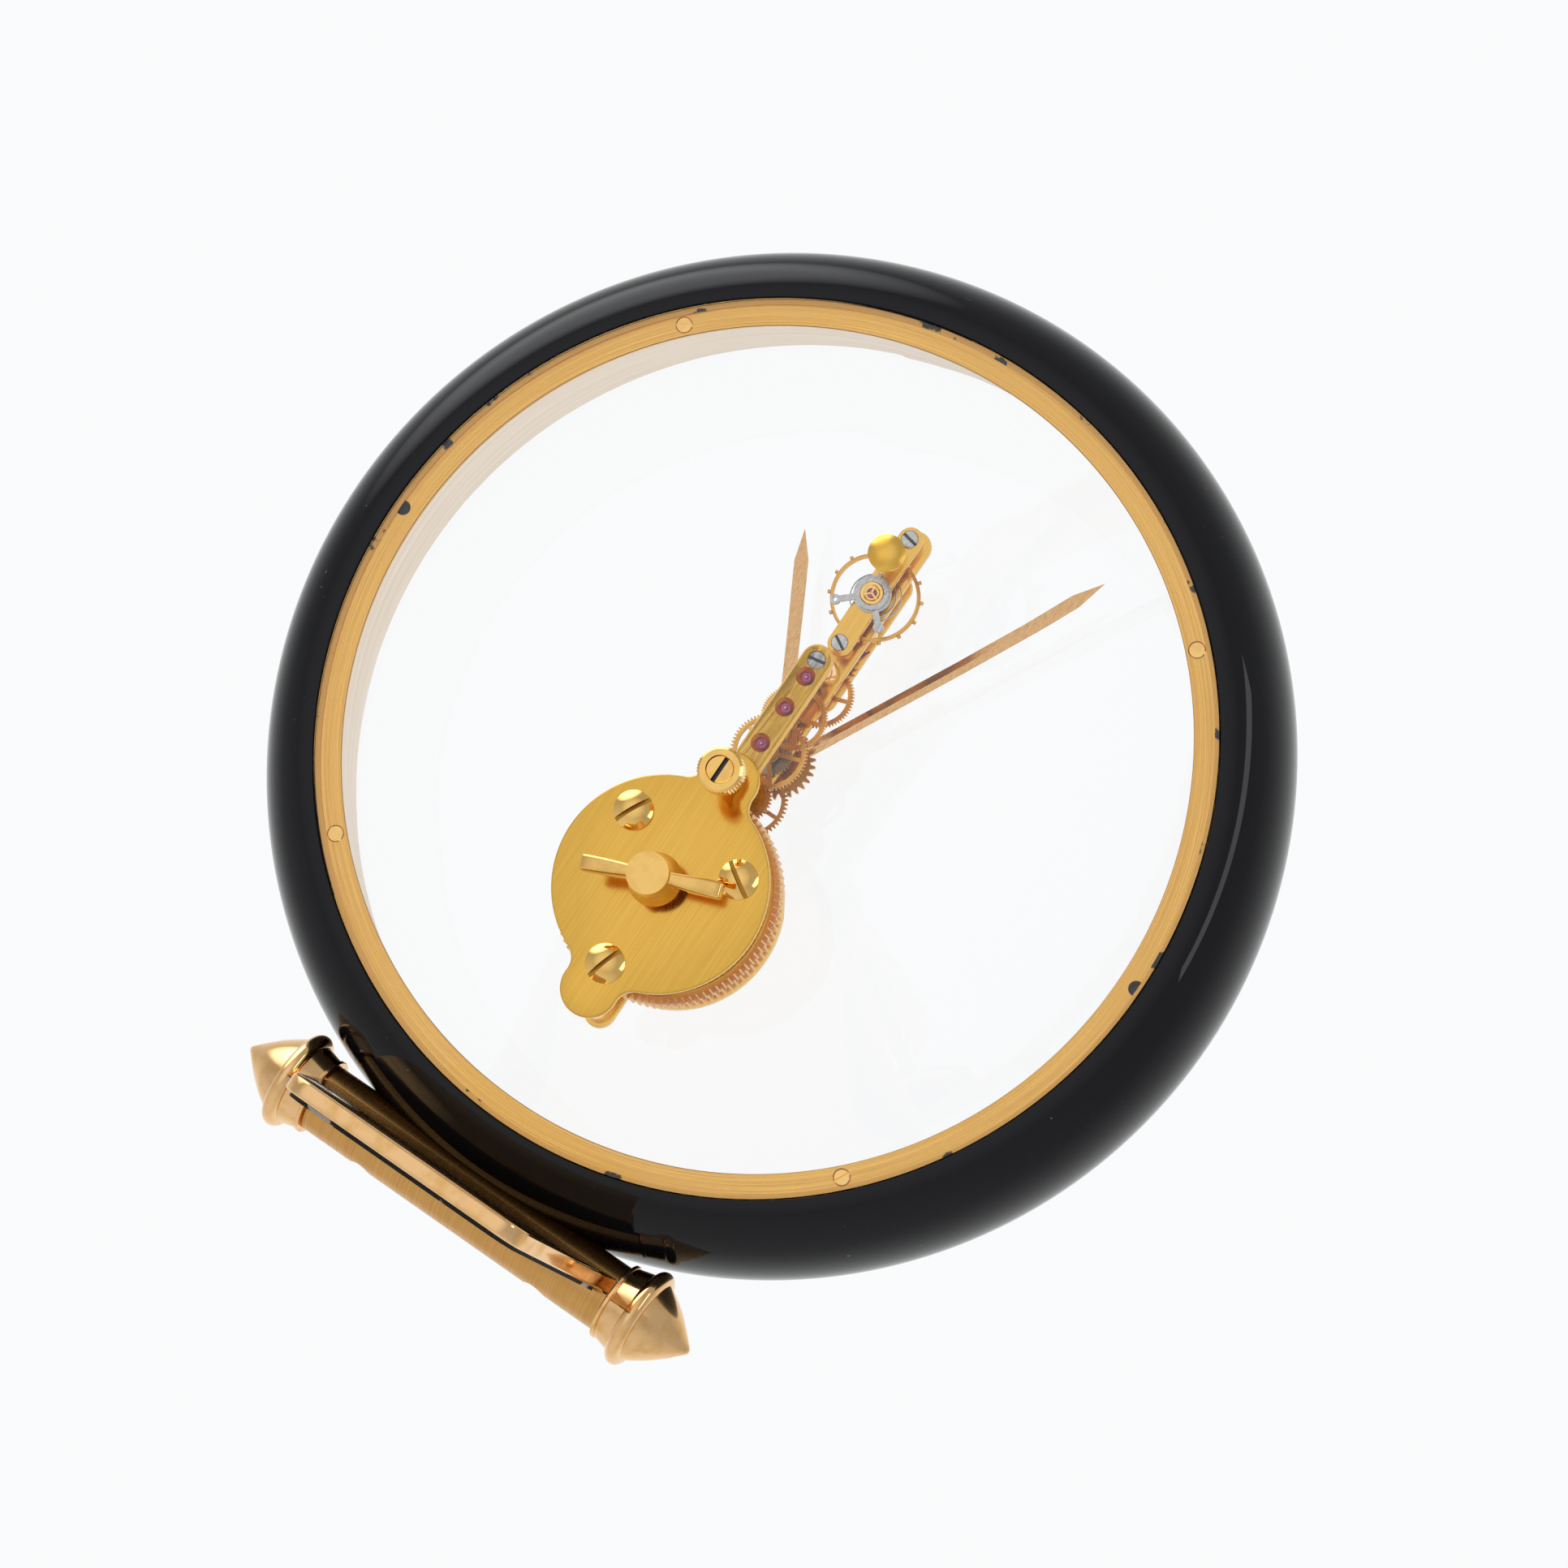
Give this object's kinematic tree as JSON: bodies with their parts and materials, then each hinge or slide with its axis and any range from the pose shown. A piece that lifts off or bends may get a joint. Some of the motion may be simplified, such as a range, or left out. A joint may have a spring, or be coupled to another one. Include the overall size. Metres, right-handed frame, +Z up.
{
  "type": "mystery clock",
  "caption": "Mystery clock: a lacquered ring with two crystals, a slim in-line movement with key and balance, floating hands, and a brass rod and foot as its stand.",
  "frame": {"origin": "on the floor, under the middle of the bounding box", "axes": "+Z up from the floor, +X across the ring along the base rod, +Y towards the back of the clock, where the key and the foot are; the ring leans back by 9.9 degrees"},
  "size_m": [0.15, 0.0601, 0.1582],
  "materials": {
    "lacquer": "gloss black lacquer",
    "gold_satin": "satin, turned",
    "gold_pale": "satin, pale",
    "gold_polished": "polished",
    "gold_brown": "brushed, brown gold",
    "plate_gold": "brushed along the bar",
    "wheel_gold": "rose gold, circular grain",
    "steel": "polished",
    "steel_blue": "tempered spring steel",
    "ruby": "polished synthetic ruby",
    "crystal": "clear, polished",
    "seal": "cemented seal",
    "felt": "black felt"
  },
  "bodies": {
    "case": {"ring_shell_rear": "lacquer", "ring_shell_front": "lacquer", "inner_band": "gold_pale", "rear_flange": "gold_satin", "flange_screws": "gold_satin", "rear_seal": "seal", "front_seal": "seal", "rear_crystal": "crystal", "front_crystal": "crystal", "base_rod": "gold_brown", "finial_left": "gold_satin", "finial_right": "gold_satin", "foot_plate": "gold_brown", "foot_felt": "felt", "base_screws": "steel", "outer_plate": "plate_gold", "plate_screws": "gold_polished", "rear_plate": "plate_gold", "main_plate": "plate_gold", "pillars": "gold_polished", "steel_screws": "steel", "balance_cock": "plate_gold", "front_bridge": "plate_gold", "train_jewels": "ruby", "stud_carrier": "steel", "regulator": "steel", "shock_setting": "gold_polished", "end_stone": "ruby", "glass_button": "gold_polished", "click_spring": "steel_blue", "click_screw": "steel"},
    "barrel": {"barrel_drum": "wheel_gold", "barrel_cover": "wheel_gold", "mainspring": "steel_blue"},
    "winding": {"barrel_arbor": "steel", "ratchet_wheel": "steel", "winding_key": "gold_polished"},
    "click": {"click": "steel"},
    "intermediate": {"intermediate_wheel": "wheel_gold"},
    "centre": {"centre_arbor": "steel", "centre_wheel": "wheel_gold", "cannon_pinion": "steel", "minute_hand": "gold_polished"},
    "third": {"third_arbor": "steel", "third_wheel": "wheel_gold"},
    "fourth": {"fourth_arbor": "steel", "fourth_wheel": "wheel_gold"},
    "escape": {"escape_arbor": "steel", "escape_wheel": "steel"},
    "pallet": {"pallet_fork": "steel", "pallet_stones": "ruby"},
    "balance": {"balance_staff": "steel", "balance_wheel": "wheel_gold", "hairspring": "steel_blue"},
    "setting": {"set_arbor": "steel", "set_knob": "gold_polished", "set_knob_screw": "steel", "minute_wheel": "wheel_gold"},
    "hour": {"hour_wheel": "wheel_gold", "hour_hand": "gold_polished"}
  },
  "joints": [
    {"name": "centre_turn", "type": "hinge", "parent": "case", "child": "centre", "pos_m": [0, 0.00025, 0.08318], "axis": [0, 0.985, -0.1727], "continuous": true},
    {"name": "barrel_turn", "type": "hinge", "parent": "case", "child": "barrel", "pos_m": [0, -0.004, 0.05894], "axis": [0, 0.985, -0.1727], "continuous": true},
    {"name": "intermediate_turn", "type": "hinge", "parent": "case", "child": "intermediate", "pos_m": [0, -0.00096, 0.07629], "axis": [0, 0.985, -0.1727], "continuous": true},
    {"name": "third_turn", "type": "hinge", "parent": "case", "child": "third", "pos_m": [0, 0.00131, 0.08921], "axis": [0, 0.985, -0.1727], "continuous": true},
    {"name": "fourth_turn", "type": "hinge", "parent": "case", "child": "fourth", "pos_m": [0, 0.00221, 0.09438], "axis": [0, 0.985, -0.1727], "continuous": true},
    {"name": "escape_turn", "type": "hinge", "parent": "case", "child": "escape", "pos_m": [0, 0.00314, 0.0997], "axis": [0, 0.985, -0.1727], "continuous": true},
    {"name": "setting_turn", "type": "hinge", "parent": "case", "child": "setting", "pos_m": [0, -0.00096, 0.07629], "axis": [0, 0.985, -0.1727], "continuous": true},
    {"name": "hour_turn", "type": "hinge", "parent": "case", "child": "hour", "pos_m": [0, 0.00025, 0.08318], "axis": [0, 0.985, -0.1727], "continuous": true},
    {"name": "winding_turn", "type": "hinge", "parent": "case", "child": "winding", "pos_m": [0, -0.004, 0.05894], "axis": [0, 0.985, -0.1727], "continuous": true},
    {"name": "click_tip", "type": "hinge", "parent": "case", "child": "click", "pos_m": [0.006, -0.00438, 0.06548], "axis": [0, 0.985, -0.1727], "range_deg": [0, 15], "stiffness_Nm_per_rad": 0.00005, "springref_deg": -17.19},
    {"name": "pallet_rock", "type": "hinge", "parent": "case", "child": "pallet", "pos_m": [0, 0.00365, 0.1026], "axis": [0, 0.985, -0.1727], "range_deg": [-5, 5]},
    {"name": "balance_swing", "type": "hinge", "parent": "case", "child": "balance", "pos_m": [0, 0.00491, 0.10974], "axis": [0, 0.985, -0.1727], "range_deg": [-270, 270], "stiffness_Nm_per_rad": 0.000007}
  ],
  "couplings": [
    {"joint": "barrel_turn", "follows": "centre_turn", "ratio": 0.078125},
    {"joint": "intermediate_turn", "follows": "centre_turn", "ratio": -0.75},
    {"joint": "third_turn", "follows": "centre_turn", "ratio": -8},
    {"joint": "fourth_turn", "follows": "centre_turn", "ratio": 75},
    {"joint": "escape_turn", "follows": "centre_turn", "ratio": -600},
    {"joint": "setting_turn", "follows": "centre_turn", "ratio": -0.25},
    {"joint": "hour_turn", "follows": "centre_turn", "ratio": 0.083333}
  ]
}
